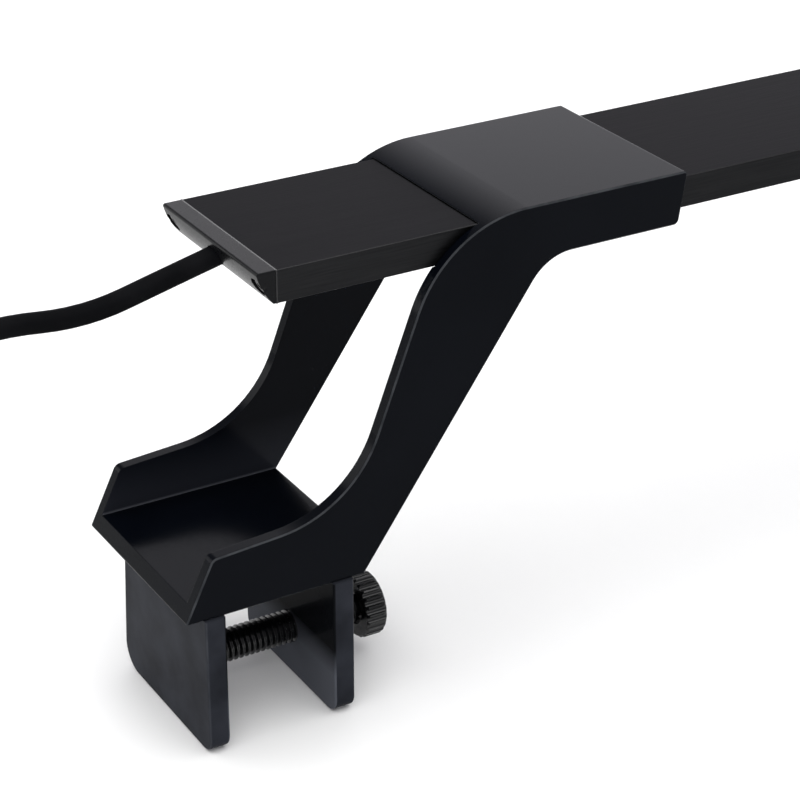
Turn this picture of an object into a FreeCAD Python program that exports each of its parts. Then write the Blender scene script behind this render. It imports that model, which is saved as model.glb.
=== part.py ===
import FreeCAD, Part
import math
import os

# Clip-on LED aquarium light: a slim aluminium light bar carried by two sliding brackets.
# Each bracket stands on the tank's rim and is clamped there by a thumb screw.
#
# Row frame, millimetres: +X along the bar (cable end at -X), +Z up, origin on the ground
# under the middle of the light, which stands on the four feet of its clamps.
# Each end is drawn once in its own end frame: origin at the bar's end face, halfway
# across the bar and level with its top, +X towards the middle of the light.

doc = FreeCAD.newDocument("aquarium_light")
Vector = FreeCAD.Vector
Rotation = FreeCAD.Rotation
Placement = FreeCAD.Placement

# ---------------------------------------------------------------- driving dimensions
DIMENSIONS = [
    ("bar_length", 480.0, "extruded housing, end face to end face"),
    ("bar_width", 58.0, "housing across"),
    ("bar_thick", 9.8, "housing height"),
    ("bar_wall", 1.6, "housing wall"),
    ("bar_top", 144.0, "top of the housing above the ground"),
    ("port_width", 4.0, "screw port along each side wall inside the housing"),
    ("port_depth", 5.6, "height of the screw ports"),
    ("lens_thick", 2.0, "clear cover under the diodes"),
    ("seal_thick", 0.4, "end seal between housing and cap"),
    ("cap_length", 6.3, "end cap at the top, seal included"),
    ("cap_foot", 1.2, "end cap at the bottom, seal included"),
    ("spigot_length", 5.0, "tongue of the cap inside the housing"),
    ("board_width", 45.0, "diode board across"),
    ("board_length", 452.0, "diode board along the bar"),
    ("board_thick", 1.2, "aluminium core board"),
    ("diode_size", 5.0, "square diode package"),
    ("diode_height", 1.6, "diode package height"),
    ("slide_gap", 0.25, "clearance between the bracket and the housing"),
    ("bracket_width", 65.1, "bracket over its two side arms"),
    ("arm_inside", 57.2, "space between the arms"),
    ("floor_thick", 5.0, "tray floor"),
    ("lip_reach", 5.0, "lips that hold the bar from below"),
    ("foot_level", 99.3, "tray underside below the bar's top"),
    ("jaw_near", 33.5, "clamp jaw from the middle to its near edge"),
    ("jaw_far", 23.0, "clamp jaw from the middle to its far edge"),
    ("outer_jaw_x", -27.3, "outer face of the outer jaw"),
    ("outer_jaw_thick", 6.3, "outer jaw"),
    ("screw_jaw_x", 13.3, "inner face of the screw jaw"),
    ("screw_jaw_thick", 6.6, "screw jaw"),
    ("bridge_thick", 2.4, "plate that joins the jaws, let into the tray"),
    ("screw_radius", 5.0, "clamp screw, over the thread"),
    ("screw_pitch", 1.8, "clamp screw"),
    ("screw_side", -5.5, "clamp screw axis across the bracket"),
    ("screw_level", 128.0, "clamp screw axis below the bar's top"),
    ("screw_tip_x", -11.4, "end of the thread at the pressure pad"),
    ("knob_x", 34.8, "inner face of the knob"),
    ("knob_radius", 10.0, "knob over its ribs"),
    ("knob_length", 7.0, "knob"),
    ("pad_radius", 7.0, "pressure pad"),
    ("pad_thick", 4.0, "pressure pad"),
    ("cord_diameter", 6.2, "round mains lead"),
    ("coil_radius", 34.0, "middle of the coiled turns"),
    ("pin_spacing", 18.6, "mains plug pins"),
    ("pin_length", 19.0, "mains plug pins"),
]
sheet = doc.addObject("Spreadsheet::Sheet", "dims")
for row, (alias, value, note) in enumerate(DIMENSIONS, start=1):
    sheet.set(f"A{row}", note)
    sheet.set(f"B{row}", str(value))
    sheet.setAlias(f"B{row}", alias)
doc.recompute()


def dim(alias):
    """The value of one driving dimension."""
    return float(getattr(sheet, alias))


nodes = []  # the sub-parts, in the order they are made


def keep(item, label):
    """Registers a finished sub-part under its own label."""
    item.Label = label
    nodes.append(item)
    return item


# ---------------------------------------------------------------- building helpers
def new_body(name):
    return doc.addObject("PartDesign::Body", name)


def new_sketch(body, role, edges, offset=None):
    """A sketch of closed outlines on one of the body's own origin planes."""
    sketch = body.newObject("Sketcher::SketchObject", body.Name + "_sketch")
    plane = next(p for p in body.Origin.OriginFeatures if p.Role == role)
    sketch.AttachmentSupport = [(plane, "")]
    sketch.MapMode = "FlatFace"
    if offset is not None:
        sketch.AttachmentOffset = Placement(Vector(0, 0, offset), Rotation())
    for edge in edges:
        sketch.addGeometry(edge, False)
    return sketch


def outline(points):
    """Closed outline through (u, v, radius) corners, each rounded by a tangent arc where radius > 0."""
    count = len(points)
    starts, ends, arcs = [], [], []
    for i, (u, v, radius) in enumerate(points):
        corner = Vector(u, v, 0)
        before = (Vector(*points[i - 1][:2], 0) - corner).normalize()
        after = (Vector(*points[(i + 1) % count][:2], 0) - corner).normalize()
        half = before.getAngle(after) / 2
        reach = radius / math.tan(half)
        first, last = corner + before * reach, corner + after * reach
        starts.append(first)
        ends.append(last)
        if radius > 0:
            middle_way = (before + after).normalize()
            middle = corner + middle_way * (radius / math.sin(half) - radius)
            arcs.append(Part.Arc(first, middle, last))
        else:
            arcs.append(None)
    edges = []
    for i in range(count):
        if arcs[i]:
            edges.append(arcs[i])
        following = starts[(i + 1) % count]
        if (following - ends[i]).Length > 1e-6:
            edges.append(Part.LineSegment(ends[i], following))
    return edges


def rectangle(u0, v0, u1, v1, radius=0.0):
    return outline([(u0, v0, radius), (u1, v0, radius), (u1, v1, radius), (u0, v1, radius)])


def circle(u, v, radius):
    return [Part.Circle(Vector(u, v, 0), Vector(0, 0, 1), radius)]


def extrude(body, kind, sketch, length, symmetric=True, flip=False):
    """A Pad or Pocket of the sketch; length is a formula over the sheet's names."""
    feature = body.newObject("PartDesign::" + kind, body.Name + "_" + kind.lower())
    feature.Profile = sketch
    feature.SideType = "Symmetric" if symmetric else "One side"
    feature.Reversed = flip
    feature.setExpression("Length", length)
    before = body.Shape.Volume if kind == "Pocket" else 0.0
    doc.recompute()
    if kind == "Pocket" and body.Shape.Volume > before - 1e-3:
        raise ValueError(f"{feature.Name} cuts nothing")
    return feature


def dress(body, kind, size, wanted):
    """A Fillet or Chamfer on the body's edges for which wanted(edge) is true."""
    tip = body.Tip
    names = [f"Edge{i + 1}" for i, edge in enumerate(tip.Shape.Edges) if wanted(edge)]
    feature = body.newObject("PartDesign::" + kind, body.Name + "_" + kind.lower())
    feature.Base = (tip, names)
    if kind == "Fillet":
        feature.Radius = size
    else:
        feature.Size = size
    doc.recompute()
    return feature


def lies_on(edge, axis, value):
    """True if the whole edge lies in the plane where that coordinate has that value."""
    box = edge.BoundBox
    low, high = getattr(box, axis + "Min"), getattr(box, axis + "Max")
    return abs(low - value) < 1e-4 and abs(high - value) < 1e-4


def box(name, low, high):
    item = doc.addObject("Part::Box", name)
    item.Length, item.Width, item.Height = [high[i] - low[i] for i in range(3)]
    item.Placement.Base = Vector(*low)
    return item


def cylinder(name, radius, length, start, direction=(1, 0, 0)):
    item = doc.addObject("Part::Cylinder", name)
    if isinstance(radius, str):
        item.setExpression("Radius", radius)
    else:
        item.Radius = radius
    item.Height = length
    item.Placement = Placement(Vector(*start), Rotation(Vector(0, 0, 1), Vector(*direction)))
    return item


def cone(name, radius_start, radius_end, length, start, direction=(1, 0, 0)):
    item = doc.addObject("Part::Cone", name)
    item.Radius1, item.Radius2, item.Height = radius_start, radius_end, length
    item.Placement = Placement(Vector(*start), Rotation(Vector(0, 0, 1), Vector(*direction)))
    return item


def joined(name, items):
    item = doc.addObject("Part::MultiFuse", name)
    item.Shapes = items
    return item


def cut(name, base, tool):
    item = doc.addObject("Part::Cut", name)
    item.Base, item.Tool = base, tool
    return item


def group(name, items):
    """Separate solids that share one node, such as identical fasteners."""
    item = doc.addObject("Part::Compound", name)
    item.Links = items
    return item


def screw(name, head_point, direction, head_radius, head_height, shank_radius, shank_length):
    """A pan-head screw: head_point is the middle of the head's seat, direction points into the work."""
    inward = Vector(*direction).normalize()
    seat = Vector(*head_point)
    top = seat - inward * head_height
    head = cone(name + "_head", 0.72 * head_radius, head_radius, 0.45 * head_height, top, inward)
    rim_start = top + inward * 0.45 * head_height
    rim = cylinder(name + "_rim", head_radius, 0.55 * head_height, rim_start, inward)
    shank = cylinder(name + "_shank", shank_radius, shank_length, seat, inward)
    socket_depth = 0.55 * head_height
    slot = cylinder(name + "_socket", 0.38 * head_radius, socket_depth, top, inward)
    return cut(name, joined(name + "_solid", [head, rim, shank]), slot)


def rounded_path(points, label):
    """Wire of straight runs joined by tangent arcs, each as large as its two runs allow."""
    corners = [Vector(*p) for p in points]
    edges, at, radii = [], corners[0], []
    for before, corner, after in zip(corners, corners[1:], corners[2:]):
        back, on = before - corner, after - corner
        turn = math.pi - back.getAngle(on)
        reach = 0.45 * min(back.Length, on.Length)
        radius = reach / math.tan(turn / 2)
        radii.append(radius)
        back.normalize()
        on.normalize()
        first, last = corner + back * reach, corner + on * reach
        middle_way = (back + on).normalize()
        middle = corner + middle_way * (math.hypot(radius, reach) - radius)
        edges.append(Part.LineSegment(at, first).toShape())
        edges.append(Part.Arc(first, middle, last).toShape())
        at = last
    edges.append(Part.LineSegment(at, corners[-1]).toShape())
    wire = Part.Wire(edges)
    print(label, "length %.1f" % wire.Length, "radii", [round(r, 1) for r in radii])
    return wire


def tube(name, points, diameter):
    """A round cord along a rounded path."""
    path = rounded_path(points, name)
    heading = Vector(*points[1]) - Vector(*points[0])
    section = Part.Wire([Part.Circle(Vector(*points[0]), heading, diameter / 2).toShape()])
    shape = path.makePipeShell([section], True, False)
    expected = math.pi * diameter**2 / 4 * path.Length
    if abs(shape.Volume / expected - 1) > 0.01:
        raise ValueError(f"{name} has volume {shape.Volume:.0f}, expected {expected:.0f}")
    item = doc.addObject("Part::Feature", name)
    item.Shape = shape
    return item


# ---------------------------------------------------------------- where the ends are
half_bar = dim("bar_length") / 2
LEFT = Placement(Vector(-half_bar, 0, dim("bar_top")), Rotation())
RIGHT = Placement(Vector(half_bar, 0, dim("bar_top")), Rotation(Vector(0, 0, 1), 180))
ENDS = (("left", LEFT), ("right", RIGHT))

bar_side = dim("bar_width") / 2
channel_side = bar_side - dim("bar_wall")
port_side = channel_side - dim("port_width")
ceiling = -dim("bar_wall")
port_bottom = ceiling - dim("port_depth")


# ---------------------------------------------------------------- light bar
def make_housing():
    """Aluminium extrusion, open below, with a screw port along each inner corner."""
    body = new_body("housing")
    bottom = -dim("bar_thick")
    section = outline([
        (-bar_side, 0.0, 0.4),
        (bar_side, 0.0, 0.4),
        (bar_side, bottom, 0.3),
        (channel_side, bottom, 0.0),
        (channel_side, port_bottom, 0.0),
        (port_side, port_bottom, 0.0),
        (port_side, ceiling, 0.0),
        (-port_side, ceiling, 0.0),
        (-port_side, port_bottom, 0.0),
        (-channel_side, port_bottom, 0.0),
        (-channel_side, bottom, 0.0),
        (-bar_side, bottom, 0.3),
    ])
    extrude(body, "Pad", new_sketch(body, "YZ_Plane", section), "dims.bar_length")
    body.Placement = Placement(Vector(0, 0, dim("bar_top")), Rotation())
    keep(body, "lamp_housing")


def make_lens():
    """Clear plate that closes the channel below the diodes."""
    body = new_body("lens")
    top = port_bottom - 0.05
    side = channel_side - 0.1
    section = rectangle(-side, top - dim("lens_thick"), side, top)
    extrude(body, "Pad", new_sketch(body, "YZ_Plane", section), "dims.bar_length - 0.4")
    body.Placement = Placement(Vector(0, 0, dim("bar_top")), Rotation())
    keep(body, "lens_cover")


board_bottom = dim("bar_top") + ceiling - dim("board_thick")
board_screw_places = [(x, y) for x in (-180.0, 0.0, 180.0) for y in (-7.5, 7.5)]


def make_board():
    """Aluminium core board screwed under the housing's top wall."""
    board = doc.addObject("Part::Box", "board")
    board.setExpression("Length", "dims.board_length")
    board.setExpression("Width", "dims.board_width")
    board.setExpression("Height", "dims.board_thick")
    board.Placement.Base = Vector(-dim("board_length") / 2, -dim("board_width") / 2, board_bottom)
    holes = [
        cylinder(f"board_hole_{i}", 1.3, 3.0, (x, y, board_bottom - 1), (0, 0, 1))
        for i, (x, y) in enumerate(board_screw_places)
    ]
    keep(cut("board_drilled", board, joined("board_holes", holes)), "led_board")


diode_columns = 20
diode_pitch = 22.5
diode_rows = (-15.0, 0.0, 15.0)


def diode(name, x, y):
    """Square diode package with the round window of its phosphor."""
    half = dim("diode_size") / 2
    height = dim("diode_height")
    package = box(
        name + "_case", (x - half, y - half, board_bottom - height), (x + half, y + half, board_bottom)
    )
    window = cylinder(name + "_window", 2.0, 0.4, (x, y, board_bottom - height), (0, 0, 1))
    return cut(name, package, window)


def make_diodes():
    """White diodes in the outer rows; the middle row alternates blue and white."""
    white, blue = [], []
    for column in range(diode_columns):
        x = (column - (diode_columns - 1) / 2) * diode_pitch
        for row, y in enumerate(diode_rows):
            is_blue = row == 1 and column % 2 == 0
            kind = blue if is_blue else white
            kind.append(diode(f"diode_{column}_{row}", x, y))
    keep(group("whites", white), "white_leds")
    keep(group("blues", blue), "blue_leds")


def make_board_parts():
    """Bridge rectifier and two current regulators at the cable end, and the board's screws."""
    low = board_bottom
    rectifier = box("rectifier", (-222.5, 7.0, low - 2.2), (-217.0, 13.5, low))
    regulators = [
        box(f"regulator_{i}", (-222.0, y, low - 1.6), (-217.0, y + 4.0, low))
        for i, y in enumerate((-21.0, 17.0))
    ]
    keep(group("board_chips", [rectifier] + regulators), "board_components")
    fasteners = [
        screw(f"board_screw_{i}", (x, y, low), (0, 0, 1), 2.2, 1.3, 1.2, 1.9)
        for i, (x, y) in enumerate(board_screw_places)
    ]
    keep(group("board_fasteners", fasteners), "board_screws")


# ---------------------------------------------------------------- end caps
cap_angle = math.atan2(dim("cap_length") - dim("cap_foot"), dim("bar_thick"))
cap_outward = Vector(-math.cos(cap_angle), 0, -math.sin(cap_angle))
cap_middle = Vector(-(dim("cap_length") + dim("cap_foot")) / 2, 0, -dim("bar_thick") / 2)
cap_corner = cap_middle + cap_outward * 1.2  # where the rounded face's upper and lower tangents meet
cap_face_radius = 20.0
cap_screw_side = 26.0
cap_screw_head = 2.75
cap_screw_seat = cap_middle - cap_outward * 0.65  # bottom of the recess that sinks the head
cord_start = (-1.2, 0.0, -5.0)
cord_first = (-19.3, 0.0, -9.3)


def cap_screw_holes(name):
    """The two holes that the cap's screws pass through, square to the sloped face."""
    start = cap_screw_seat + cap_outward
    return [
        cylinder(f"{name}_hole_{i}", 1.2, 8.0, (start.x, side, start.z), tuple(-cap_outward))
        for i, side in enumerate((-cap_screw_side, cap_screw_side))
    ]


def cap_screw_recesses(name):
    """Flat-bottomed recesses in the rounded face, a little wider than the screw heads."""
    seat = cap_screw_seat
    return [
        cylinder(f"{name}_recess_{i}", cap_screw_head + 0.2, 3.0, (seat.x, side, seat.z), tuple(cap_outward))
        for i, side in enumerate((-cap_screw_side, cap_screw_side))
    ]


def make_cap(end, place, with_cord):
    """Wedge-shaped cap whose rounded end face slopes in towards the bottom, with a tongue inside the bar."""
    body = new_body("cap_" + end)
    seal, foot, tip = dim("seal_thick"), dim("cap_foot"), dim("cap_length")
    bottom = -dim("bar_thick")
    wedge = outline([
        (-seal, 0.0, 0.0),
        (-tip, 0.0, 0.7),
        (cap_corner.x, cap_corner.z, cap_face_radius),
        (-foot, bottom, 0.5),
        (-seal, bottom, 0.0),
    ])
    extrude(body, "Pad", new_sketch(body, "XZ_Plane", wedge), "dims.bar_width")
    tongue = rectangle(-seal, port_bottom + 0.2, dim("spigot_length"), ceiling - 0.2)
    extrude(body, "Pad", new_sketch(body, "XZ_Plane", tongue), "2 * 23.1")
    dress(body, "Fillet", 0.35, lambda edge: lies_on(edge, "Y", bar_side) or lies_on(edge, "Y", -bar_side))
    body.Placement = place
    tools = cap_screw_holes("cap_" + end) + cap_screw_recesses("cap_" + end)
    if with_cord:
        way = (Vector(*cord_first) - Vector(*cord_start)).normalize()
        socket_radius = dim("cord_diameter") / 2 + 0.15
        tools.append(cylinder("cord_socket", socket_radius, 12.0, cord_start, way))
        tools.append(cylinder("wire_way", 1.9, 12.0, (-3.0, 0, -4.5)))
    bores = joined("cap_bores_" + end, tools)
    bores.Placement = place
    keep(cut("cap_bored_" + end, body, bores), "end_cap_cable" if with_cord else "end_cap_blind")


def make_seal(end, place, with_cord):
    """Thin bright seal between the housing's end face and the cap, open for the cap's tongue."""
    body = new_body("seal_" + end)
    plate = rectangle(-bar_side, -dim("bar_thick"), bar_side, 0.0)
    window = rectangle(-23.3, port_bottom + 0.05, 23.3, ceiling - 0.05)
    sketch = new_sketch(body, "YZ_Plane", plate + window)
    extrude(body, "Pad", sketch, "dims.seal_thick", symmetric=False, flip=True)
    body.Placement = place
    holes = joined("seal_holes_" + end, cap_screw_holes("seal_" + end))
    holes.Placement = place
    keep(cut("seal_punched_" + end, body, holes), "end_seal_cable" if with_cord else "end_seal_blind")


def make_cap_screws(end, place, with_cord):
    """Two low-headed black screws square to the sloped face."""
    seat = cap_screw_seat
    pair = [
        screw(f"cap_screw_{end}_{i}", (seat.x, side, seat.z), tuple(-cap_outward), cap_screw_head, 0.8, 1.1, 6.0)
        for i, side in enumerate((-cap_screw_side, cap_screw_side))
    ]
    both = group(f"cap_screws_{end}", pair)
    both.Placement = place
    keep(both, "end_screws_cable" if with_cord else "end_screws_blind")


# ---------------------------------------------------------------- brackets
def make_bracket(end, place):
    """One moulding: the sleeve round the bar, two raking arms and a shallow tray above the rim."""
    body = new_body("bracket_" + end)
    foot = -dim("foot_level")
    side_view = outline([
        (51.0, 3.1, 38.0),
        (132.4, 3.1, 1.2),
        (129.9, -13.1, 1.8),
        (84.5, -13.1, 16.0),
        (24.0, foot, 0.6),
        (-33.0, foot, 0.6),
        (-23.9, -80.5, 2.5),
        (20.3, -77.4, 36.0),
    ])
    extrude(body, "Pad", new_sketch(body, "XZ_Plane", side_view), "dims.bracket_width")

    gap = dim("slide_gap")
    tunnel_floor = -dim("bar_thick") - gap
    tunnel = rectangle(0.0, tunnel_floor, 140.0, gap)
    extrude(body, "Pocket", new_sketch(body, "XZ_Plane", tunnel), "dims.bar_width + 2 * dims.slide_gap")

    tray_floor = foot + dim("floor_thick")
    between_arms = rectangle(-50.0, tray_floor, 140.0, tunnel_floor + 1.0)
    extrude(body, "Pocket", new_sketch(body, "XZ_Plane", between_arms), "dims.arm_inside")

    lip_back = outline([
        (84.5, -13.1, 4.0),
        (130.0, -13.1, 1.0),
        (130.5, tunnel_floor, 0.0),
        (76.0, tunnel_floor, 0.0),
    ])
    lips = new_sketch(body, "XZ_Plane", lip_back)
    extrude(body, "Pad", lips, "dims.bar_width + 1")
    light_window = rectangle(60.0, -20.0, 140.0, tunnel_floor)
    extrude(body, "Pocket", new_sketch(body, "XZ_Plane", light_window), "dims.bar_width - 2 * dims.lip_reach")

    recess = rectangle(-27.6, -dim("jaw_near") + 4.9, 20.2, dim("jaw_far") - 2.7)
    recess_sketch = new_sketch(body, "XY_Plane", recess, foot)
    extrude(body, "Pocket", recess_sketch, "dims.bridge_thick + 0.1", symmetric=False, flip=True)

    outer = dim("bracket_width") / 2
    dress(body, "Chamfer", 0.45, lambda e: lies_on(e, "Y", outer) or lies_on(e, "Y", -outer))
    body.Placement = place
    keep(body, "bracket_" + end)


fixing_places = ((-4.0, -18.0), (-4.0, 13.0))  # the clamp's two screws into the tray


def make_jaws(end, place):
    """U-shaped clamp: outer jaw and screw jaw on a bridge that is let into the tray's underside."""
    body = new_body("jaws_" + end)
    foot, ground = -dim("foot_level"), -dim("bar_top")
    near, far = -dim("jaw_near"), dim("jaw_far")
    outer_x, screw_x = dim("outer_jaw_x"), dim("screw_jaw_x")
    outer_back = outer_x + dim("outer_jaw_thick")
    screw_back = screw_x + dim("screw_jaw_thick")

    corners = [(near, foot, 0.0), (far - 2.0, foot, 0.0), (far + 1.8, ground, 8.0), (near, ground, 5.0)]
    outer_face = outline(corners)
    sketch = new_sketch(body, "YZ_Plane", outer_face, outer_x)
    extrude(body, "Pad", sketch, "dims.outer_jaw_thick", symmetric=False)
    bridge = rectangle(outer_x, near + 5.2, screw_back, far - 3.0)
    sketch = new_sketch(body, "XY_Plane", bridge, foot)
    extrude(body, "Pad", sketch, "dims.bridge_thick", symmetric=False)
    screw_face = outline([(near, foot, 0.0), (far, foot, 0.0), (far, ground, 5.0), (near, ground, 5.0)])
    sketch = new_sketch(body, "YZ_Plane", screw_face, screw_x)
    extrude(body, "Pad", sketch, "dims.screw_jaw_thick", symmetric=False)
    bore = circle(dim("screw_side"), -dim("screw_level"), dim("screw_radius") + 0.07)
    sketch = new_sketch(body, "YZ_Plane", bore, screw_x - 0.5)
    extrude(body, "Pocket", sketch, "dims.screw_jaw_thick + 1", symmetric=False, flip=True)

    def jaw_upright(edge):
        on_face = any(lies_on(edge, "X", x) for x in (outer_x, outer_back, screw_x, screw_back))
        runs_outside = edge.BoundBox.ZMax < foot + 1e-3 and edge.BoundBox.ZMin < foot - 1
        return on_face and runs_outside and not edge.isClosed()

    dress(body, "Fillet", 0.6, jaw_upright)
    body.Placement = place
    holes = []
    for i, (x, y) in enumerate(fixing_places):
        holes.append(cone(f"sink_{end}_{i}", 2.85, 1.35, 1.5, (x, y, foot), (0, 0, 1)))
        holes.append(cylinder(f"sink_{end}_{i}_way", 1.4, 2.0, (x, y, foot + 1.0), (0, 0, 1)))
    sinks = joined("sinks_" + end, holes)
    sinks.Placement = place
    keep(cut("jaws_drilled_" + end, body, sinks), "clamp_jaws_" + end)


def make_fixing_screws(end, place):
    """Two flat-head screws through the bridge into the tray floor."""
    level = -dim("foot_level")
    pair = []
    for i, (x, y) in enumerate(fixing_places):
        head = cone(f"fixing_{end}_{i}_head", 2.8, 1.3, 1.5, (x, y, level), (0, 0, 1))
        shank = cylinder(f"fixing_{end}_{i}_shank", 1.3, 2.9, (x, y, level + 1.4), (0, 0, 1))
        drive = cylinder(f"fixing_{end}_{i}_drive", 0.9, 0.9, (x, y, level), (0, 0, 1))
        pair.append(cut(f"fixing_{end}_{i}", joined(f"fixing_{end}_{i}_solid", [head, shank]), drive))
    both = group(f"fixings_{end}", pair)
    both.Placement = place
    keep(both, "jaw_screws_" + end)


# ---------------------------------------------------------------- thumb screw
def thread_shape(radius, pitch, length):
    """A right-hand thread along +Z from the origin, with chamfered ends."""
    depth = 0.55 * pitch
    root = radius - depth
    helix = Part.makeHelix(pitch, length + 2 * pitch, radius - depth / 2)
    crest_half, root_half = 0.12 * pitch, 0.44 * pitch
    corners = [
        Vector(root - 0.15, 0, -root_half),
        Vector(radius, 0, -crest_half),
        Vector(radius, 0, crest_half),
        Vector(root - 0.15, 0, root_half),
    ]
    profile = Part.makePolygon(corners + corners[:1])
    ridge = Part.Wire(helix).makePipeShell([profile], True, True)
    ridge.translate(Vector(0, 0, -pitch))
    core = Part.makeCylinder(root, length)
    bevel = depth + 0.2
    blank = Part.makeCylinder(radius + 0.2, length - 2 * bevel, Vector(0, 0, bevel))
    ends = [
        Part.makeCone(root, radius + 0.2, bevel),
        Part.makeCone(radius + 0.2, root, bevel, Vector(0, 0, length - bevel)),
    ]
    envelope = blank.fuse(ends)
    return core.fuse(ridge.common(envelope)).removeSplitter()


def make_clamp_screw(end, place):
    """Threaded stem with a plain neck in the knob and a round nose in the pressure pad."""
    start, stop = dim("screw_tip_x"), dim("knob_x")
    y, z = dim("screw_side"), -dim("screw_level")
    stem = doc.addObject("Part::Feature", "thread_" + end)
    stem.Shape = thread_shape(dim("screw_radius"), dim("screw_pitch"), stop - start - 0.6)
    stem.Placement = Placement(Vector(start, y, z), Rotation(Vector(0, 0, 1), Vector(1, 0, 0)))
    nose = cylinder(f"nose_{end}", 2.9, 2.8, (start - 2.2, y, z))
    neck = cylinder(f"neck_{end}", 3.4, 6.6, (stop - 1.0, y, z))
    whole = joined("clamp_screw_solid_" + end, [stem, nose, neck])
    whole.Placement = place
    keep(whole, "clamp_screw_" + end)


def make_knob(end, place):
    """Knob with straight ribs, recessed round the stem on the jaw's side, moulded over its neck."""
    body = new_body("knob_" + end)
    length = dim("knob_length")
    profile = outline([
        (0.0, 1.6, 0.0),
        (5.6, 1.6, 0.0),
        (5.6, 0.0, 0.0),
        (dim("knob_radius") - 0.7, 0.0, 0.0),
        (dim("knob_radius"), 0.7, 0.0),
        (dim("knob_radius"), length - 0.8, 0.6),
        (dim("knob_radius") - 1.0, length, 0.4),
        (0.0, length, 0.0),
    ])
    sketch = new_sketch(body, "XZ_Plane", profile)
    turn = body.newObject("PartDesign::Revolution", body.Name + "_turned")
    turn.Profile = sketch
    turn.ReferenceAxis = (sketch, ["V_Axis"])
    turn.Angle = 360.0
    doc.recompute()

    flute = circle(dim("knob_radius") + 0.3, 0.0, 1.1)
    flute_sketch = new_sketch(body, "XY_Plane", flute)
    first = extrude(body, "Pocket", flute_sketch, "dims.knob_length", symmetric=False, flip=True)
    ring = body.newObject("PartDesign::PolarPattern", body.Name + "_ribs")
    ring.Originals = [first]
    ring.Axis = (flute_sketch, ["N_Axis"])
    ring.Angle = 360.0
    ring.Occurrences = 24
    body.Tip = ring
    doc.recompute()

    bore = circle(0.0, 0.0, 3.4)
    bore_sketch = new_sketch(body, "XY_Plane", bore)
    extrude(body, "Pocket", bore_sketch, "5.7", symmetric=False, flip=True)
    along = Placement(
        Vector(dim("knob_x"), dim("screw_side"), -dim("screw_level")),
        Rotation(Vector(0, 0, 1), Vector(1, 0, 0)),
    )
    body.Placement = place.multiply(along)
    keep(body, "knob_" + end)


def make_pressure_pad(end, place):
    """Soft disc at the screw's nose that bears on the glass and doesn't turn with the screw."""
    body = new_body("pad_" + end)
    radius, thick = dim("pad_radius"), dim("pad_thick")
    profile = outline([
        (0.0, 0.0, 0.0),
        (radius, 0.0, 0.8),
        (radius, thick, 0.5),
        (3.0, thick, 0.0),
        (3.0, thick - 2.5, 0.0),
        (0.0, thick - 2.5, 0.0),
    ])
    sketch = new_sketch(body, "XZ_Plane", profile)
    turn = body.newObject("PartDesign::Revolution", body.Name + "_turned")
    turn.Profile = sketch
    turn.ReferenceAxis = (sketch, ["V_Axis"])
    turn.Angle = 360.0
    doc.recompute()
    along = Placement(
        Vector(dim("screw_tip_x") - 0.1 - thick, dim("screw_side"), -dim("screw_level")),
        Rotation(Vector(0, 0, 1), Vector(1, 0, 0)),
    )
    body.Placement = place.multiply(along)
    keep(body, "pressure_pad_" + end)


# ---------------------------------------------------------------- mains lead
CORD_ROUTE = [  # end frame of the cable end: out of the cap, over in a soft arch, down onto the coil
    cord_start,
    cord_first,
    (-43.5, 1.0, -15.9),
    (-69.0, 3.5, -13.6),
    (-94.0, 7.0, -19.5),
    (-114.0, 8.0, -36.5),
    (-126.5, 6.5, -60.5),
    (-133.0, 3.0, -86.5),
    (-142.5, -0.5, -110.5),
    (-159.5, -3.0, -125.0),
    (-184.0, -4.1, -128.4),
]
coil_centre = (-184.0, 33.0)
cord_radius = dim("cord_diameter") / 2
ground_level = -dim("bar_top")
coil_height = 3 * dim("cord_diameter")


def make_coil():
    """Outer shape of the wound lead: two turns wide and three high."""
    body = new_body("coil")
    reach = dim("cord_diameter")
    inner, outer = dim("coil_radius") - reach, dim("coil_radius") + reach
    section = rectangle(inner, 0.0, outer, coil_height, cord_radius)
    sketch = new_sketch(body, "XZ_Plane", section)
    ring = body.newObject("PartDesign::Revolution", body.Name + "_turned")
    ring.Profile = sketch
    ring.ReferenceAxis = (sketch, ["V_Axis"])
    ring.Angle = 360.0
    doc.recompute()
    x, y = coil_centre
    body.Placement = LEFT.multiply(Placement(Vector(x, y, ground_level), Rotation()))
    keep(body, "cord_coil")


plug_level = ground_level + 5.2  # axis of the plug, which lies on the ground beside the coil
plug_rear = (coil_centre[0] + 63.0, coil_centre[1] + 20.0)


def make_tail():
    """End of the lead that leaves the coil's middle outer turn and comes down to the plug."""
    x, y = coil_centre
    level = ground_level + 1.5 * dim("cord_diameter")
    route = [
        (x + 15.7, y + 33.6, level),
        (x + 28.4, y + 27.7, level - 0.3),
        (x + 41.5, y + 23.2, level - 2.1),
        (x + 55.5, y + 20.7, level - 3.6),
        (x + 69.5, y + 20.0, plug_level),
    ]
    tail = tube("tail", route, dim("cord_diameter"))
    tail.Placement = LEFT
    keep(tail, "cord_tail")


def make_cord():
    cord = tube("lead", CORD_ROUTE, dim("cord_diameter"))
    cord.Placement = LEFT
    keep(cord, "cord")


def make_tie():
    """Band that holds the turns together, on the side away from the plug."""
    x, y = coil_centre
    reach = dim("cord_diameter")
    inner, outer = dim("coil_radius") - reach, dim("coil_radius") + reach
    top = ground_level + coil_height
    band = box("band", (x - outer - 0.8, y - 2.0, ground_level), (x - inner + 0.8, y + 2.0, top + 0.8))
    inside = box("band_inside", (x - outer, y - 3.0, ground_level - 1), (x - inner, y + 3.0, top))
    tie = cut("tie", band, inside)
    tie.Placement = LEFT
    keep(tie, "coil_tie")


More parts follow.
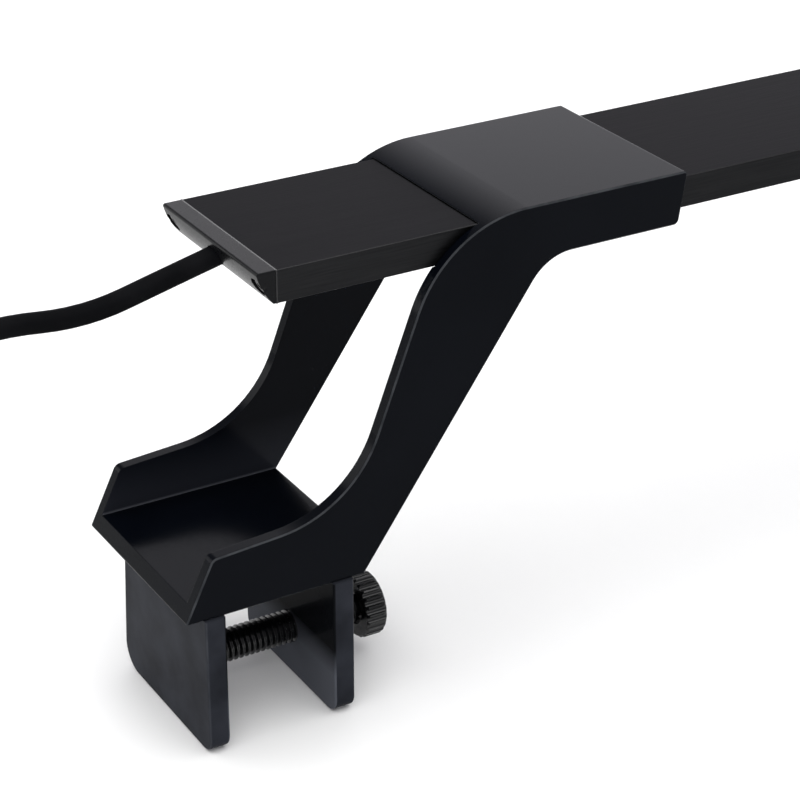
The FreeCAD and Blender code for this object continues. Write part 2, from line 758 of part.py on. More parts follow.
def make_plug():
    """Flat two-pin plug, drawn with its rear face at its own origin and its pins along +X."""
    body = new_body("plug")
    half_thick = 5.2
    plan = outline([
        (0.0, -6.5, 3.0),
        (9.0, -6.5, 6.0),
        (20.0, -17.6, 4.0),
        (34.0, -17.6, 1.5),
        (34.0, 17.6, 1.5),
        (20.0, 17.6, 4.0),
        (9.0, 6.5, 6.0),
        (0.0, 6.5, 3.0),
    ])
    sketch = new_sketch(body, "XY_Plane", plan)
    extrude(body, "Pad", sketch, f"{2 * half_thick}")
    dress(body, "Fillet", 2.0, lambda e: lies_on(e, "Z", half_thick) or lies_on(e, "Z", -half_thick))
    entry = new_sketch(body, "YZ_Plane", circle(0.0, 0.0, cord_radius), -1.0)
    extrude(body, "Pocket", entry, "9", symmetric=False, flip=True)
    place = LEFT.multiply(Placement(Vector(*plug_rear, plug_level), Rotation()))
    body.Placement = place
    keep(body, "plug_body")

    taper = cone("relief_taper", 3.9, 5.0, 20.0, (-20.0, 0.0, 0.0))
    hollow = cylinder("relief_bore", cord_radius, 22.0, (-21.0, 0.0, 0.0))
    sleeve = cut("relief", taper, hollow)
    sleeve.Placement = place
    keep(sleeve, "plug_relief")

    half = dim("pin_spacing") / 2
    coated = 10.0
    pins = []
    for i, y in enumerate((-half, half)):
        coat = cylinder(f"pin_{i}_coat", 1.9, coated, (34.0, y, 0.0))
        tip = cylinder(f"pin_{i}_tip", 2.0, dim("pin_length") - coated, (34.0 + coated, y, 0.0))
        pins.append(joined(f"pin_{i}", [coat, tip]))
    both = group("pins", pins)
    both.Placement = place
    keep(both, "plug_pins")


def make_conductors():
    """The lead's two insulated wires, from the sheath's end in the cap to the diode board."""
    top = ceiling - dim("board_thick") - 0.8
    for name, side in (("live", -1), ("neutral", 1)):
        route = [
            (-0.9, 0.85 * side, -4.5),
            (6.0, 0.85 * side, -4.5),
            (11.0, 1.6 * side, -4.3),
            (16.0, 3.4 * side, top),
            (21.0, 5.6 * side, top - 0.01),
        ]
        wire = tube("wire_" + name, route, 1.5)
        wire.Placement = LEFT
        keep(wire, name + "_wire")


# ---------------------------------------------------------------- the whole light
make_housing()
make_lens()
make_board()
make_diodes()
make_board_parts()
for end_name, end_place in ENDS:
    cable_end = end_name == "left"
    make_cap(end_name, end_place, cable_end)
    make_seal(end_name, end_place, cable_end)
    make_cap_screws(end_name, end_place, cable_end)
    make_bracket(end_name, end_place)
    make_jaws(end_name, end_place)
    make_fixing_screws(end_name, end_place)
    make_clamp_screw(end_name, end_place)
    make_knob(end_name, end_place)
    make_pressure_pad(end_name, end_place)
make_conductors()
make_cord()
make_coil()
make_tail()
make_tie()
make_plug()
doc.recompute()

for item in doc.Objects:
    if "Invalid" in item.State or "Error" in item.State:
        raise ValueError(f"{item.Label} failed: {item.State}")
for node in nodes:
    if node.Shape.isNull() or not node.Shape.isValid() or not node.Shape.Solids:
        raise ValueError(f"{node.Label} has no valid solid")

os.makedirs("parts", exist_ok=True)
for node in nodes:
    node.Shape.exportStep(f"parts/{node.Label}.step")
    extent = node.Shape.BoundBox
    print(f"{node.Label:22s} {len(node.Shape.Solids):3d} solid  {node.Shape.Volume:10.0f} mm3  "
          f"x {extent.XMin:8.2f} {extent.XMax:8.2f}  y {extent.YMin:7.2f} {extent.YMax:7.2f}  "
          f"z {extent.ZMin:7.2f} {extent.ZMax:7.2f}")
print(len(nodes), "nodes")
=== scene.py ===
import math

import bpy
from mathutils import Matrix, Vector


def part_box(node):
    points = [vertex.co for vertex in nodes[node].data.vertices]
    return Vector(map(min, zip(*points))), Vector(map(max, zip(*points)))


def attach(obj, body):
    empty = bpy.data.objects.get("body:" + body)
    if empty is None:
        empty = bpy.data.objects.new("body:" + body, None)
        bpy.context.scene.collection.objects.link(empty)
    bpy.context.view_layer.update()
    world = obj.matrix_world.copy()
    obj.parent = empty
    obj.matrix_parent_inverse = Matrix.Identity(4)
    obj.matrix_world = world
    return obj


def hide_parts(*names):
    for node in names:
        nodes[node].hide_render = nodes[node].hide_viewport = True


# Looks for the clip-on LED aquarium light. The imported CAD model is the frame: metres, +X along the
# bar away from the lead, +Z up, ground at Z = 0. Hard pieces keep their CAD shape and get their
# materials here; the lead, its tie and the plug's strain relief are modelled here.

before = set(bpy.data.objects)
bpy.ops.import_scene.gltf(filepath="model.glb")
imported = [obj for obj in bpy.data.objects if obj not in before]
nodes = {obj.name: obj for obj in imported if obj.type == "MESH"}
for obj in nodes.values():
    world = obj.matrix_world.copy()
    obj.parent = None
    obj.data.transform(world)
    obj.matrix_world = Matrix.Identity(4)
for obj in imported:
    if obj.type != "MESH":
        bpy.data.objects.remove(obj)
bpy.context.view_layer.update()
scene = bpy.context.scene
MM = 0.001


# ---------------------------------------------------------------- camera
def make_camera():
    """Looks down on the cable end from the front left, at the angle of a product view."""
    data = bpy.data.cameras.new("camera")
    data.lens = 108.92
    data.sensor_width = 36.0
    data.clip_start = 0.02
    camera = bpy.data.objects.new("camera", data)
    camera.location = (-0.51030, -0.55424, 0.40321)
    camera.rotation_euler = (math.radians(63.20), math.radians(0.0), math.radians(-30.40))
    scene.collection.objects.link(camera)
    scene.camera = camera


make_camera()


# ---------------------------------------------------------------- mesh helpers
def link(name, data):
    piece = bpy.data.objects.new(name, data)
    scene.collection.objects.link(piece)
    return piece


def mesh_piece(name, vertices, faces, smooth=True):
    mesh = bpy.data.meshes.new(name)
    mesh.from_pydata(vertices, [], faces)
    mesh.update()
    for polygon in mesh.polygons:
        polygon.use_smooth = smooth
    return link(name, mesh)


def ease(t):
    """0 to 1 with level ends."""
    t = min(max(t, 0.0), 1.0)
    return 0.5 - 0.5 * math.cos(math.pi * t)


# ---------------------------------------------------------------- the mains lead
# Sizes and places of the lead are in millimetres.
LEAD_DIAMETER = 6.2
BAR_END = -240.0
BAR_TOP = 144.0
COIL_CENTRE = (-184.0, 33.0)
# From the cap to the coil, with the origin at the bar's end face and its top.
LEAD_ROUTE = [
    (-1.2, 0.0, -5.0),
    (-19.3, 0.0, -9.3),
    (-43.5, 1.0, -15.9),
    (-69.0, 3.5, -13.6),
    (-94.0, 7.0, -19.5),
    (-114.0, 8.0, -36.5),
    (-126.5, 6.5, -60.5),
    (-133.0, 3.0, -86.5),
    (-142.5, -0.5, -110.5),
    (-159.5, -3.0, -125.0),
]
# The lead's last stretch, from the coil to the plug, relative to the coil's centre on the ground.
TAIL_ROUTE = [
    (28.4, 27.7, 9.0),
    (41.5, 23.2, 7.2),
    (55.5, 20.7, 5.7),
    (69.5, 20.0, 5.2),
]
OUTER_TURN, INNER_TURN = 37.1, 30.9  # radii of the two turns that lie side by side
LAYERS = (3.1, 9.3, 15.5)  # heights of the three layers
COIL_START = (OUTER_TURN, LAYERS[2])
# (degrees where the lead starts to move over, degrees where it has arrived, radius, height)
COIL_STEPS = [
    (235, 350, INNER_TURN, LAYERS[2]),
    (520, 592, INNER_TURN, LAYERS[1]),
    (880, 952, INNER_TURN, LAYERS[0]),
    (1122, 1237, OUTER_TURN, LAYERS[0]),
    (1405, 1478, OUTER_TURN, LAYERS[1]),
]
COIL_SWEEP = 1645
COIL_POINTS = 94


def coil_point(turned):
    """Place on the coil after so many degrees, clockwise from its side that faces the bar's front."""
    radius, height = COIL_START
    for start, stop, next_radius, next_height in COIL_STEPS:
        share = ease((turned - start) / (stop - start))
        radius += (next_radius - radius) * share
        height += (next_height - height) * share
    step = math.radians(COIL_SWEEP / COIL_POINTS)
    radius /= math.cos(step / 2)  # the spline runs inside its control points
    angle = math.radians(-90.0 - turned)
    return (radius * math.cos(angle), radius * math.sin(angle), height)


def lead_points():
    points = [(x + BAR_END, y, z + BAR_TOP) for x, y, z in LEAD_ROUTE]
    centre_x, centre_y = COIL_CENTRE[0] + BAR_END, COIL_CENTRE[1]
    turns = [coil_point(COIL_SWEEP * i / COIL_POINTS) for i in range(COIL_POINTS + 1)]
    points += [(x + centre_x, y + centre_y, z) for x, y, z in turns + TAIL_ROUTE]
    return [(x * MM, y * MM, z * MM) for x, y, z in points]


def make_lead():
    curve = bpy.data.curves.new("lead", "CURVE")
    curve.dimensions = "3D"
    curve.bevel_depth = 1.0  # times each point's radius
    curve.bevel_resolution = 5
    curve.resolution_u = 6
    curve.use_fill_caps = True
    spline = curve.splines.new("NURBS")
    points = lead_points()
    spline.points.add(len(points) - 1)
    for target, point in zip(spline.points, points):
        target.co = (*point, 1.0)
        target.radius = LEAD_DIAMETER / 2 * MM
    spline.order_u = 3
    spline.use_endpoint_u = True
    lead = link("lead", curve)
    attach(lead, "lamp")
    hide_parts("cord", "cord_coil", "cord_tail")
    return lead


def make_strain_relief():
    """Tapered sleeve behind the plug, built straight: rings joined by a thinner core, as on a sleeve
    made to bend.
    """
    low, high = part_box("plug_relief")
    axis_y, axis_z = (low[1] + high[1]) / 2, (low[2] + high[2]) / 2
    start, stop = low[0], high[0]
    bore = LEAD_DIAMETER / 2 * MM
    ring_count = 6
    neck, first_ring, swell, groove, seat = 3.75, 3.85, 1.1, 0.75, 4.9  # millimetres of radius
    profile = [(start, bore), (start, neck * MM)]
    pitch = (stop - start) / ring_count
    for i in range(ring_count):
        x = start + pitch * i
        outer = (first_ring + swell * (i + 0.5) / ring_count) * MM
        core = outer - groove * MM
        profile += [
            (x + pitch * 0.08, outer),
            (x + pitch * 0.50, outer + 0.03 * MM),
            (x + pitch * 0.62, core),
            (x + pitch * 0.88, core),
        ]
    profile += [(stop, seat * MM), (stop, bore)]
    around = 40
    vertices = []
    for x, radius in profile:
        for k in range(around):
            angle = 2 * math.pi * k / around
            vertices.append((x, axis_y + radius * math.cos(angle), axis_z + radius * math.sin(angle)))
    faces = []
    rows = len(profile)
    for i in range(rows):
        here, following = i * around, (i + 1) % rows * around
        for k in range(around):
            side = (k + 1) % around
            faces.append((here + k, here + side, following + side, following + k))
    sleeve = mesh_piece("strain_relief", vertices, faces)
    soften(sleeve, 0.12 * MM, 2)
    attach(sleeve, "lamp")
    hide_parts("plug_relief")
    return sleeve


def soften(piece, width, segments):
    bevel = piece.modifiers.new("soft_edges", "BEVEL")
    bevel.width = width
    bevel.segments = segments
    bevel.limit_method = "ANGLE"
    bevel.angle_limit = math.radians(30)


def make_tie():
    """Hook-and-loop strap round the coiled turns: a closed band with rounded corners."""
    low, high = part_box("coil_tie")
    middle_y = (low[1] + high[1]) / 2
    section_x = (low[0] + high[0]) / 2
    half_x, top = (high[0] - low[0]) / 2, high[2]
    thick = 0.7 * MM
    corner = 3.4 * MM
    half_z = top / 2
    steps = 8
    outer = []
    for sign_x, sign_z, begin in ((1, 1, 0), (-1, 1, 90), (-1, -1, 180), (1, -1, 270)):
        for k in range(steps + 1):
            angle = math.radians(begin + 90 * k / steps)
            x = sign_x * (half_x - corner) + corner * math.cos(angle)
            z = sign_z * (half_z - corner) + corner * math.sin(angle)
            outer.append((x, z))
    count = len(outer)
    half_width = (high[1] - low[1]) / 2
    vertices = []
    for inset in (0.0, thick):
        shrink_x, shrink_z = 1 - inset / half_x, 1 - inset / half_z
        for side in (-1, 1):
            for x, z in outer:
                vertices.append((
                    section_x + x * shrink_x,
                    middle_y + side * half_width,
                    half_z + z * shrink_z,
                ))
    faces = []
    outside_low, outside_high, inside_low, inside_high = 0, count, 2 * count, 3 * count
    for k in range(count):
        n = (k + 1) % count
        faces.append((outside_low + k, outside_high + k, outside_high + n, outside_low + n))
        faces.append((inside_low + k, inside_low + n, inside_high + n, inside_high + k))
        faces.append((outside_low + k, outside_low + n, inside_low + n, inside_low + k))
        faces.append((outside_high + k, inside_high + k, inside_high + n, outside_high + n))
    strap = mesh_piece("tie_strap", vertices, faces)
    soften(strap, 0.15 * MM, 2)
    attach(strap, "lamp")
    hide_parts("coil_tie")
    return strap


strain_relief = make_strain_relief()
tie = make_tie()
lead = make_lead()


# ---------------------------------------------------------------- materials
def rgba(sockets, name):
    """The Mix node has a socket of each name for every kind of data: this is the colour one."""
    return [s for s in sockets if s.name == name and s.type == "RGBA"][0]


class Look:
    """One procedural material on the Principled shader, in object coordinates (metres)."""

    def __init__(self, name, roughness, metallic=0.0, specular=0.5, rounding=0.0, ior=1.5):
        self.material = bpy.data.materials.new(name)
        self.material.use_nodes = True
        self.tree = self.material.node_tree
        self.shader = self.tree.nodes["Principled BSDF"]
        self.shader.inputs["Metallic"].default_value = metallic
        self.shader.inputs["Roughness"].default_value = roughness
        self.shader.inputs["Specular IOR Level"].default_value = specular
        self.shader.inputs["IOR"].default_value = ior
        self.place = self.add("ShaderNodeTexCoord").outputs["Object"]
        self.normal = None
        if rounding > 0:
            bevel = self.add("ShaderNodeBevel")
            bevel.samples = 4
            bevel.inputs["Radius"].default_value = rounding
            self.normal = bevel.outputs["Normal"]

    def add(self, kind, **settings):
        node = self.tree.nodes.new(kind)
        for key, value in settings.items():
            setattr(node, key, value)
        return node

    def join(self, source, target):
        self.tree.links.new(source, target)

    def stretched(self, scale):
        """Object coordinates with each axis multiplied by its own number."""
        mapping = self.add("ShaderNodeMapping")
        mapping.inputs["Scale"].default_value = scale
        self.join(self.place, mapping.inputs["Vector"])
        return mapping.outputs["Vector"]

    def noise(self, scale, detail=3.0, stretch=None, roughness=0.5):
        """Noise from 0 to 1 with `scale` features a metre."""
        texture = self.add("ShaderNodeTexNoise")
        texture.inputs["Scale"].default_value = scale
        texture.inputs["Detail"].default_value = detail
        texture.inputs["Roughness"].default_value = roughness
        self.join(self.stretched(stretch) if stretch else self.place, texture.inputs["Vector"])
        return texture.outputs["Fac"]

    def span(self, value, low, high, to_low=0.0, to_high=1.0):
        """value, from low..high to to_low..to_high, clamped."""
        node = self.add("ShaderNodeMapRange")
        self.join(value, node.inputs["Value"])
        numbers = {"From Min": low, "From Max": high, "To Min": to_low, "To Max": to_high}
        for socket, number in numbers.items():
            node.inputs[socket].default_value = number
        return node.outputs["Result"]

    def spread(self, noise, to_low=0.0, to_high=1.0):
        """Noise, which lies mostly from 0.3 to 0.7, spread over to_low..to_high."""
        return self.span(noise, 0.3, 0.7, to_low, to_high)

    def sums(self, kind, first, second=0.0):
        """One math node; either side may be a socket or a number."""
        node = self.add("ShaderNodeMath", operation=kind)
        for i, side in enumerate((first, second)):
            if isinstance(side, (int, float)):
                node.inputs[i].default_value = side
            else:
                self.join(side, node.inputs[i])
        return node.outputs[0]

    def mixed(self, share, first, second):
        """Colour from first to second by share; either may be a socket or an RGB tuple."""
        node = self.add("ShaderNodeMix", data_type="RGBA")
        self.join(share, node.inputs["Factor"])
        for name, side in (("A", first), ("B", second)):
            socket = rgba(node.inputs, name)
            if isinstance(side, tuple):
                socket.default_value = (*side, 1.0)
            else:
                self.join(side, socket)
        return rgba(node.outputs, "Result")

    def colour(self, value):
        if isinstance(value, tuple):
            self.shader.inputs["Base Color"].default_value = (*value, 1.0)
        else:
            self.join(value, self.shader.inputs["Base Color"])

    def rough(self, value):
        self.join(value, self.shader.inputs["Roughness"])

    def bump(self, height, depth):
        """Adds relief of `depth` metres to what the normal already has."""
        node = self.add("ShaderNodeBump")
        node.inputs["Distance"].default_value = depth
        self.join(height, node.inputs["Height"])
        if self.normal:
            self.join(self.normal, node.inputs["Normal"])
        self.normal = node.outputs["Normal"]

    def edges(self, axis):
        """1 where an edge turns from facing along the axis (0, 1 or 2) to facing across it."""
        along = self.facing()[axis]
        square = self.sums("MULTIPLY", along, along)
        both_ways = self.sums("MULTIPLY", square, self.sums("SUBTRACT", 1.0, square))
        return self.span(both_ways, 0.02, 0.16)

    def facing(self):
        """The surface's own direction as three sockets."""
        node = self.add("ShaderNodeSeparateXYZ")
        self.join(self.add("ShaderNodeTexCoord").outputs["Normal"], node.inputs[0])
        return node.outputs[0], node.outputs[1], node.outputs[2]

    def parts(self):
        """The place's X, Y and Z as three sockets."""
        node = self.add("ShaderNodeSeparateXYZ")
        self.join(self.place, node.inputs[0])
        return node.outputs[0], node.outputs[1], node.outputs[2]

    def from_cell_middle(self, value, pitch, shift=0.0):
        """How far value is from the middle of its cell, in a row of cells pitch metres long."""
        cells = self.sums("ADD", self.sums("DIVIDE", value, pitch), shift)
        in_cells = self.sums("SUBTRACT", self.sums("FRACT", cells), 0.5)
        return self.sums("MULTIPLY", in_cells, pitch)

    def done(self):
        if self.normal:
            self.join(self.normal, self.shader.inputs["Normal"])
        return self.material


def brushed_bar():
    """Dark anodised aluminium, brushed along the bar."""
    look = Look("brushed_anodised", 0.42, metallic=1.0, rounding=0.25 * MM)
    look.shader.inputs["Specular Tint"].default_value = (0.520, 0.517, 0.520, 1.0)
    fine = look.noise(1.0, 3.0, stretch=(60.0, 2200.0, 2200.0), roughness=0.6)
    broad = look.noise(1.0, 4.0, stretch=(18.0, 300.0, 300.0), roughness=0.65)
    grain = look.sums("ADD", look.sums("MULTIPLY", fine, 0.6), look.sums("MULTIPLY", broad, 0.4))
    dark, light = (0.0118, 0.0121, 0.0129), (0.0227, 0.0229, 0.0240)
    # Painted highlight: the colour is lighter along the edges between the top and the sides.
    painted_light = (0.034, 0.034, 0.035)
    base = look.mixed(look.span(grain, 0.32, 0.68), dark, light)
    look.colour(look.mixed(look.edges(2), base, painted_light))
    look.rough(look.spread(grain, 0.36, 0.52))
    look.bump(fine, 0.012 * MM)
    look.bump(broad, 0.02 * MM)
    return look.done()


def moulded(
    name,
    base,
    roughness,
    ior=1.5,
    grain=0.010,
    size=1400.0,
    rounding=0.3,
    mottle=0.15,
    waves=22.0,
    edge=None,
    edge_axis=1,
    patch=None,
):
    """Injection-moulded plastic: fine spark-eroded grain, slow waves of gloss, edges lightened by a
    painted highlight.

    grain and rounding are in millimetres; size and waves are features a metre. patch(look, colour)
    gives the colour back with painted light and shade of its own on it.
    """
    look = Look(name, roughness, rounding=rounding * MM, ior=ior)
    texture = look.noise(size)
    slow = look.noise(waves)
    lighter = tuple(min(1.0, c * (1 + mottle) + 0.0006) for c in base)
    darker = tuple(c * (1 - mottle) for c in base)
    colour = look.mixed(look.spread(slow), darker, lighter)
    if edge:
        # Painted highlight: the edges take the lighter edge colour, broken up by noise.
        highlight_breakup = look.noise(160.0, 4.0)
        edge_highlight = look.sums("MULTIPLY", look.edges(edge_axis), look.span(highlight_breakup, 0.35, 0.62, 0.45, 1.0))
        colour = look.mixed(edge_highlight, colour, edge)
    if patch:
        colour = patch(look, colour)
    look.colour(colour)
    uneven = look.sums("ADD", look.spread(slow, -0.03, 0.03), look.spread(texture, -0.04, 0.04))
    look.rough(look.sums("ADD", uneven, roughness))
    look.bump(texture, grain * MM)
    return look.done()


TRAY_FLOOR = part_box("bracket_left")[0].z + 5.0 * MM  # height, one plate above its underside


def tray_painted_fill(look, colour):
    """Painted light in a bracket's tray: the lower parts of the walls that look at each other are
    lighter, as if lit, with a painted highlight along their foot.
    """
    _, y, z = look.parts()
    inward = look.span(look.sums("MULTIPLY", y, look.facing()[1]), 0.0, -20.0 * MM)
    low = look.span(z, TRAY_FLOOR + 18.3 * MM, TRAY_FLOOR + 3.3 * MM)
    foot = look.span(z, TRAY_FLOOR + 0.9 * MM, TRAY_FLOOR + 0.3 * MM)
    # Painted light: the wall colour stands in for fill light inside the tray, and the corner colour is
    # a painted highlight at the foot.
    wall, corner = (0.014, 0.0155, 0.020), (0.060, 0.063, 0.072)
    painted_fill = look.mixed(foot, wall, corner)
    return look.mixed(look.sums("MULTIPLY", inward, low), colour, painted_fill)


jaws_low, jaws_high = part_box("clamp_jaws_right")
JAW_MIDDLE = (jaws_low.x + jaws_high.x) / 2  # from the bar's middle to the middle of a clamp


def jaw_painted_light(look, colour):
    """The jaws' gripping faces: painted light below the screw, standing in for the bright floor they
    reflect, and painted shade above the screw.
    """
    x, _, z = look.parts()
    outwards = look.sums("MULTIPLY", look.sums("SIGN", x), look.facing()[0])
    from_middle = look.sums("SUBTRACT", look.sums("ABSOLUTE", x), JAW_MIDDLE)
    inner = look.span(look.sums("MULTIPLY", from_middle, outwards), 0.0, -5.0 * MM)
    low = look.span(z, 22.0 * MM, 13.5 * MM)
    # Painted shade above the screw and painted light below it, on the faces between the jaws.
    dark_tone, painted_light = (0.0045, 0.0050, 0.0060), (0.072, 0.077, 0.090)
    return look.mixed(inner, colour, look.mixed(low, dark_tone, painted_light))


def lead_sheath():
    """Soft black sheath: dull extrusion skin with faint patches of dust."""
    look = Look("lead_sheath", 0.42, ior=1.06)
    skin = look.noise(900.0)
    dust = look.noise(70.0, 4.0)
    dark_tone, dust_and_highlight = (0.0040, 0.0042, 0.0048), (0.0072, 0.0074, 0.0083)
    look.colour(look.mixed(look.span(dust, 0.45, 0.75), dark_tone, dust_and_highlight))
    look.rough(look.spread(skin, 0.38, 0.55))
    look.bump(skin, 0.03 * MM)
    return look.done()


def clear_lens():
    """Clear acrylic with faint extrusion lines along the bar."""
    look = Look("clear_acrylic", 0.03, ior=1.49)
    look.shader.inputs["Transmission Weight"].default_value = 1.0
    look.colour((0.97, 0.98, 1.0))
    lines = look.noise(1.0, 2.0, stretch=(3.0, 260.0, 1.0))
    look.rough(look.spread(lines, 0.015, 0.05))
    look.bump(lines, 0.01 * MM)
    return look.done()


def board():
    """White solder mask with copper tracks that show through as faint raised bands."""
    look = Look("white_board", 0.4, specular=0.4)
    lane = look.sums("ABSOLUTE", look.from_cell_middle(look.parts()[1], 5.0 * MM))
    track = look.span(lane, 0.8 * MM, 1.0 * MM, 1.0, 0.0)
    mottle = look.noise(300.0)
    mask = look.mixed(look.spread(mottle), (0.70, 0.70, 0.67), (0.80, 0.80, 0.77))
    look.colour(look.mixed(look.sums("MULTIPLY", track, 0.35), mask, (0.62, 0.60, 0.52)))
    look.rough(look.spread(mottle, 0.34, 0.46))
    look.bump(track, 0.03 * MM)
    return look.done()


DIODE_PITCH_X, DIODE_PITCH_Y = 22.5 * MM, 15.0 * MM


def diodes(name, window, glow):
    """Square white packages; the round window in the middle holds the phosphor or the die."""
    look = Look(name, 0.35)
    x, y, _ = look.parts()
    dx, dy = look.from_cell_middle(x, DIODE_PITCH_X), look.from_cell_middle(y, DIODE_PITCH_Y, 0.5)
    square = look.sums("ADD", look.sums("MULTIPLY", dx, dx), look.sums("MULTIPLY", dy, dy))
    distance = look.sums("SQRT", square)
    inside = look.span(distance, 1.9 * MM, 2.05 * MM, 1.0, 0.0)
    grain = look.noise(4000.0, 2.0)
    middle = look.mixed(look.spread(grain), window, glow)
    look.colour(look.mixed(inside, (0.82, 0.81, 0.77), middle))
    look.rough(look.span(inside, 0.0, 1.0, 0.45, 0.18))
    look.bump(grain, 0.01 * MM)
    return look.done()


def metal(name, base, roughness, metallic=1.0):
    """Plated or blackened metal with fine turning marks and darker stains."""
    look = Look(name, roughness, metallic=metallic, rounding=0.12 * MM)
    marks = look.noise(900.0, 4.0)
    stain = look.noise(240.0)
    darker = tuple(c * 0.72 for c in base)
    look.colour(look.mixed(look.spread(stain), darker, base))
    look.rough(look.spread(marks, roughness - 0.07, roughness + 0.09))
    look.bump(marks, 0.006 * MM)
    return look.done()


def seal_foam():
    """Black foam, lighter grey where it faces up: a painted highlight along the seam."""
    look = Look("seal", 0.55, specular=0.4)
    cells = look.noise(2500.0)
    # Painted highlight: the foam is made grey where it faces up.
    dust_and_highlight = look.mixed(look.spread(cells), (0.075, 0.075, 0.075), (0.12, 0.12, 0.12))
    upwards = look.span(look.facing()[2], 0.3, 0.7)
    look.colour(look.mixed(upwards, (0.010, 0.010, 0.011), dust_and_highlight))
    look.rough(look.spread(cells, 0.45, 0.65))
    look.bump(cells, 0.02 * MM)
    return look.done()


def strap_fabric():
    """Woven hook-and-loop strap."""
    look = Look("strap_fabric", 0.85, specular=0.15)
    weave = look.add("ShaderNodeTexWave", wave_type="BANDS", bands_direction="DIAGONAL")
    weave.inputs["Scale"].default_value = 700.0
    weave.inputs["Distortion"].default_value = 2.0
    weave.inputs["Detail"].default_value = 2.0
    look.join(look.place, weave.inputs["Vector"])
    threads = weave.outputs["Fac"]
    look.colour(look.mixed(threads, (0.008, 0.008, 0.008), (0.030, 0.030, 0.031)))
    look.rough(look.span(threads, 0.0, 1.0, 0.75, 0.95))
    look.bump(threads, 0.08 * MM)
    look.shader.inputs["Sheen Weight"].default_value = 0.25
    return look.done()


BAR = brushed_bar()
CAP = moulded("cap_plastic", (0.0045, 0.0047, 0.0054), 0.30, ior=1.172, grain=0.004, rounding=0.35)
# The bracket's and jaws' edge colours are painted highlights; their patches paint light and shade into
# the tray and onto the jaws.
BRACKET = moulded("bracket_plastic", (0.0012, 0.0018, 0.0034), 0.17, ior=1.124, rounding=0.35,
                  edge=(0.040, 0.043, 0.047), patch=tray_painted_fill)
JAW = moulded("jaw_plastic", (0.0185, 0.0202, 0.0252), 0.14, ior=1.062, grain=0.002, rounding=0.35,
              edge=(0.042, 0.045, 0.052), edge_axis=0, mottle=0.35, waves=70.0, patch=jaw_painted_light)
SCREW = moulded("screw_plastic", (0.0022, 0.0025, 0.0030), 0.24, ior=1.46, grain=0.003, rounding=0.15)
PAD = moulded("pad_rubber", (0.012, 0.012, 0.012), 0.7, ior=1.3, grain=0.03, size=900.0)
PLUG = moulded("plug_plastic", (0.010, 0.010, 0.011), 0.42, ior=1.4, grain=0.02, rounding=0.2)
COMPONENT = moulded("component_resin", (0.018, 0.018, 0.018), 0.35, grain=0.006, rounding=0.1)
BROWN_WIRE = moulded("brown_wire", (0.14, 0.055, 0.022), 0.35, grain=0.004, rounding=0.05)
BLUE_WIRE = moulded("blue_wire", (0.018, 0.07, 0.30), 0.35, grain=0.004, rounding=0.05)
BLACK_STEEL = metal("black_steel", (0.006, 0.006, 0.0065), 0.38, metallic=0.3)
PLAIN_STEEL = metal("zinc_steel", (0.52, 0.52, 0.50), 0.3)
PIN_METAL = metal("pin_plating", (0.72, 0.68, 0.60), 0.24)
LENS, BOARD, SEAL, STRAP, SHEATH = clear_lens(), board(), seal_foam(), strap_fabric(), lead_sheath()
WHITE_DIODE = diodes("white_diode", (0.80, 0.62, 0.16), (0.88, 0.72, 0.28))
BLUE_DIODE = diodes("blue_diode", (0.30, 0.42, 0.72), (0.42, 0.56, 0.86))

LOOKS = {
    "lamp_housing": BAR,
    "lens_cover": LENS,
    "led_board": BOARD,
    "white_leds": WHITE_DIODE,
    "blue_leds": BLUE_DIODE,
    "board_components": COMPONENT,
    "board_screws": PLAIN_STEEL,
    "live_wire": BROWN_WIRE,
    "neutral_wire": BLUE_WIRE,
    "plug_body": PLUG,
    "plug_pins": PIN_METAL,
}
for end in ("cable", "blind"):
    LOOKS[f"end_cap_{end}"] = CAP
    LOOKS[f"end_seal_{end}"] = SEAL
    LOOKS[f"end_screws_{end}"] = BLACK_STEEL
for side in ("left", "right"):
    LOOKS[f"bracket_{side}"] = BRACKET
    LOOKS[f"clamp_jaws_{side}"] = JAW
    LOOKS[f"jaw_screws_{side}"] = BLACK_STEEL
    LOOKS[f"clamp_screw_{side}"] = SCREW
    LOOKS[f"knob_{side}"] = SCREW
    LOOKS[f"pressure_pad_{side}"] = PAD


def dress(piece, material):
    piece.data.materials.clear()
    piece.data.materials.append(material)


for node_name, material in LOOKS.items():
    dress(nodes[node_name], material)
dress(lead, SHEATH)
dress(tie, STRAP)
dress(strain_relief, PLUG)


# ---------------------------------------------------------------- floor and light
BACKDROP = (0.52, 0.77, 0.37)  # towards the brightest part of the studio, behind the object
BACKDROP_LEVEL, ROOM_LEVEL = 1.8, 0.43
SCREEN_EDGE, SCREEN_FULL = 0.85, 0.985  # cosine off BACKDROP where a screen begins, and is full
ROOM_TINT = (0.965, 0.95, 1.0)


def make_floor():
    half = 3.0
    corners = [(-half, -half, 0), (half, -half, 0), (half, half, 0), (-half, half, 0)]
    floor = mesh_piece("floor", corners, [(0, 1, 2, 3)], smooth=False)
    floor.location.z = -0.2 * MM  # just under what stands on it
    look = Look("pale_floor", 0.6, specular=0.2)
    paper = look.noise(40.0)
    look.colour(look.mixed(paper, (0.895, 0.90, 0.885), (0.91, 0.915, 0.90)))
    dress(floor, look.done())


def soft_light(name, place, aim, width, height, power):
    data = bpy.data.lights.new(name, "AREA")
    data.shape = "RECTANGLE"
    data.size, data.size_y = width, height
    data.energy = power
    light = link(name, data)
    light.location = place
    light.rotation_euler = (Vector(aim) - Vector(place)).to_track_quat("-Z", "Y").to_euler()


def ceiling_light():
    """Very broad light from above and a little in front, even over the whole floor."""
    data = bpy.data.lights.new("ceiling", "SUN")
    data.energy = 2.7
    data.angle = math.radians(75)
    light = link("ceiling", data)
    towards_light = Vector((0.0, -0.2, 1.2))
    light.rotation_euler = towards_light.to_track_quat("Z", "Y").to_euler()


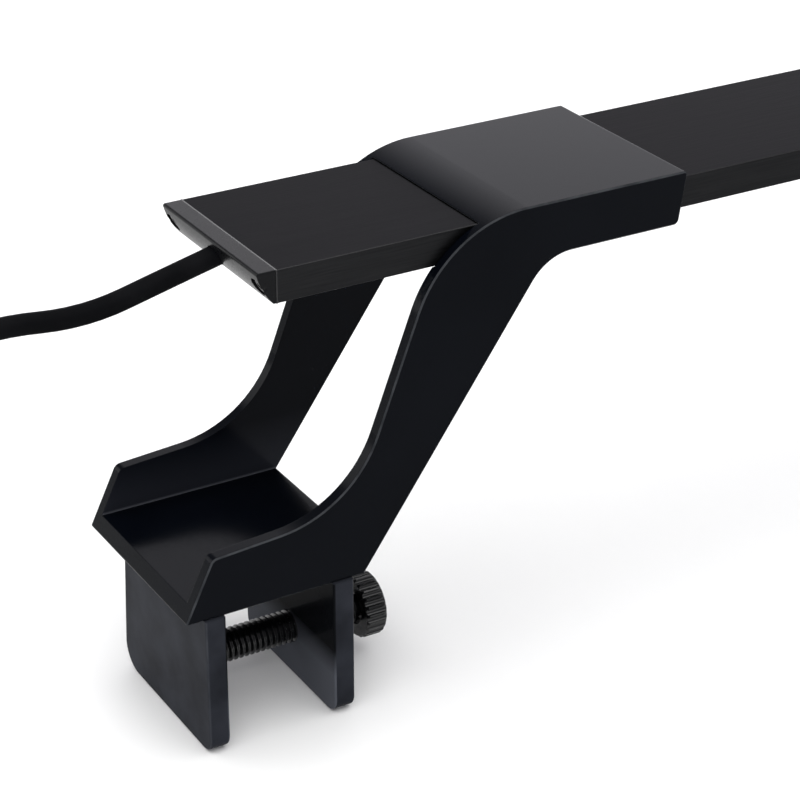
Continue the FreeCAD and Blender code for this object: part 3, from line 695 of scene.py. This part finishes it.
def make_world():
    """White studio with two bright screens, behind the object and in front of it.

    The camera itself sees plain white.
    """
    world = bpy.data.worlds.new("studio")
    world.use_nodes = True
    tree = world.node_tree
    background = tree.nodes["Background"]
    direction = tree.nodes.new("ShaderNodeTexCoord")
    level_part, upright_part = [tree.nodes.new("ShaderNodeVectorMath") for _ in range(2)]
    for part, towards in ((level_part, (*BACKDROP[:2], 0.0)), (upright_part, (0.0, 0.0, BACKDROP[2]))):
        part.operation = "DOT_PRODUCT"
        part.inputs[1].default_value = towards
        tree.links.new(direction.outputs["Generated"], part.inputs[0])
    both_ways = tree.nodes.new("ShaderNodeMath")
    both_ways.operation = "ABSOLUTE"
    tree.links.new(level_part.outputs["Value"], both_ways.inputs[0])
    facing = tree.nodes.new("ShaderNodeMath")
    facing.operation = "ADD"
    tree.links.new(both_ways.outputs["Value"], facing.inputs[0])
    tree.links.new(upright_part.outputs["Value"], facing.inputs[1])
    glow = tree.nodes.new("ShaderNodeMapRange")
    glow.interpolation_type = "SMOOTHSTEP"
    numbers = {
        "From Min": SCREEN_EDGE,
        "From Max": SCREEN_FULL,
        "To Min": ROOM_LEVEL,
        "To Max": BACKDROP_LEVEL,
    }
    for socket, number in numbers.items():
        glow.inputs[socket].default_value = number
    tree.links.new(facing.outputs["Value"], glow.inputs["Value"])
    seen = tree.nodes.new("ShaderNodeLightPath")
    tint = tree.nodes.new("ShaderNodeMix")
    tint.data_type = "RGBA"
    rgba(tint.inputs, "A").default_value = (*ROOM_TINT, 1.0)
    rgba(tint.inputs, "B").default_value = (1.0, 1.0, 1.0, 1.0)
    tree.links.new(seen.outputs["Is Camera Ray"], tint.inputs["Factor"])
    tree.links.new(rgba(tint.outputs, "Result"), background.inputs["Color"])
    level = tree.nodes.new("ShaderNodeMapRange")
    level.inputs["To Max"].default_value = 1.0
    tree.links.new(glow.outputs["Result"], level.inputs["To Min"])
    tree.links.new(seen.outputs["Is Camera Ray"], level.inputs["Value"])
    tree.links.new(level.outputs["Result"], background.inputs["Strength"])
    scene.world = world


make_floor()
make_world()
ceiling_light()
soft_light(
    "back_left", place=(-1.1, 0.9, 0.45), aim=(-0.23, 0.0, 0.03), width=0.9, height=0.6, power=4.0
)
scene.view_settings.view_transform = "Standard"

bpy.context.view_layer.update()
